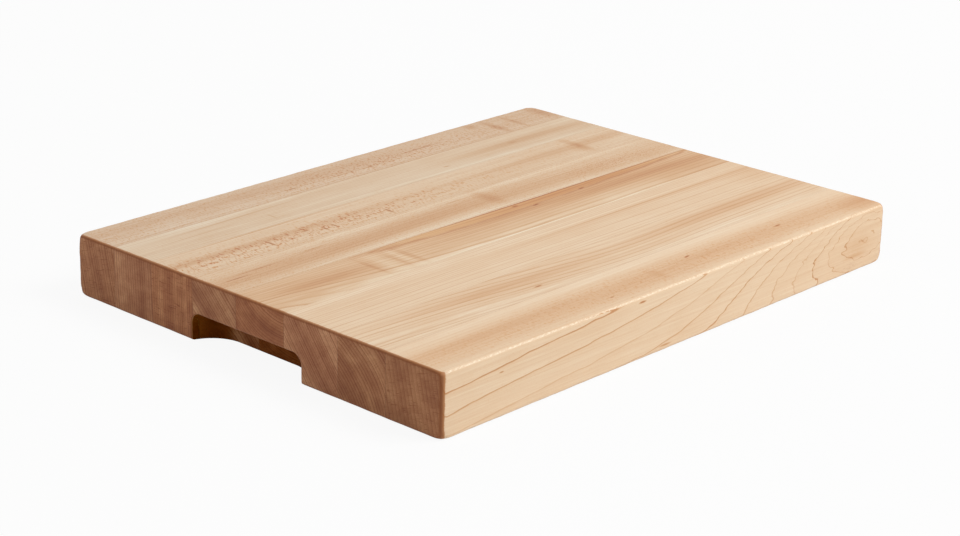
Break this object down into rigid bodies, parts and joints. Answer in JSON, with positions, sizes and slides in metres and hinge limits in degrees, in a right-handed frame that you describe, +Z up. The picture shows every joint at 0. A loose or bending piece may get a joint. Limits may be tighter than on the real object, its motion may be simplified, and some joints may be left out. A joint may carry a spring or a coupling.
{
  "type": "cutting board",
  "caption": "Thick rectangular edge-grain maple cutting board of glued staves, with rounded edges and a routed hand grip under each end.",
  "frame": {"origin": "middle of the underside, where the board stands on the worktop", "axes": "+X along the grain and the board's length, +Y to the back edge, +Z up to the work face"},
  "size_m": [0.508, 0.381, 0.0487],
  "materials": {
    "maple_cream": "sanded and oiled",
    "maple_gold": "sanded and oiled",
    "maple_tan": "sanded and oiled",
    "glue": "cured wood glue"
  },
  "bodies": {
    "root": {"stave_1_back_edge": "maple_tan", "stave_2": "maple_cream", "stave_3": "maple_tan", "stave_4": "maple_cream", "stave_5": "maple_gold", "stave_6": "maple_cream", "stave_7": "maple_gold", "stave_8_front_edge": "maple_gold", "glue_line_1_2": "glue", "glue_line_2_3": "glue", "glue_line_3_4": "glue", "glue_line_4_5": "glue", "glue_line_5_6": "glue", "glue_line_6_7": "glue", "glue_line_7_8": "glue"}
  },
  "joints": []
}
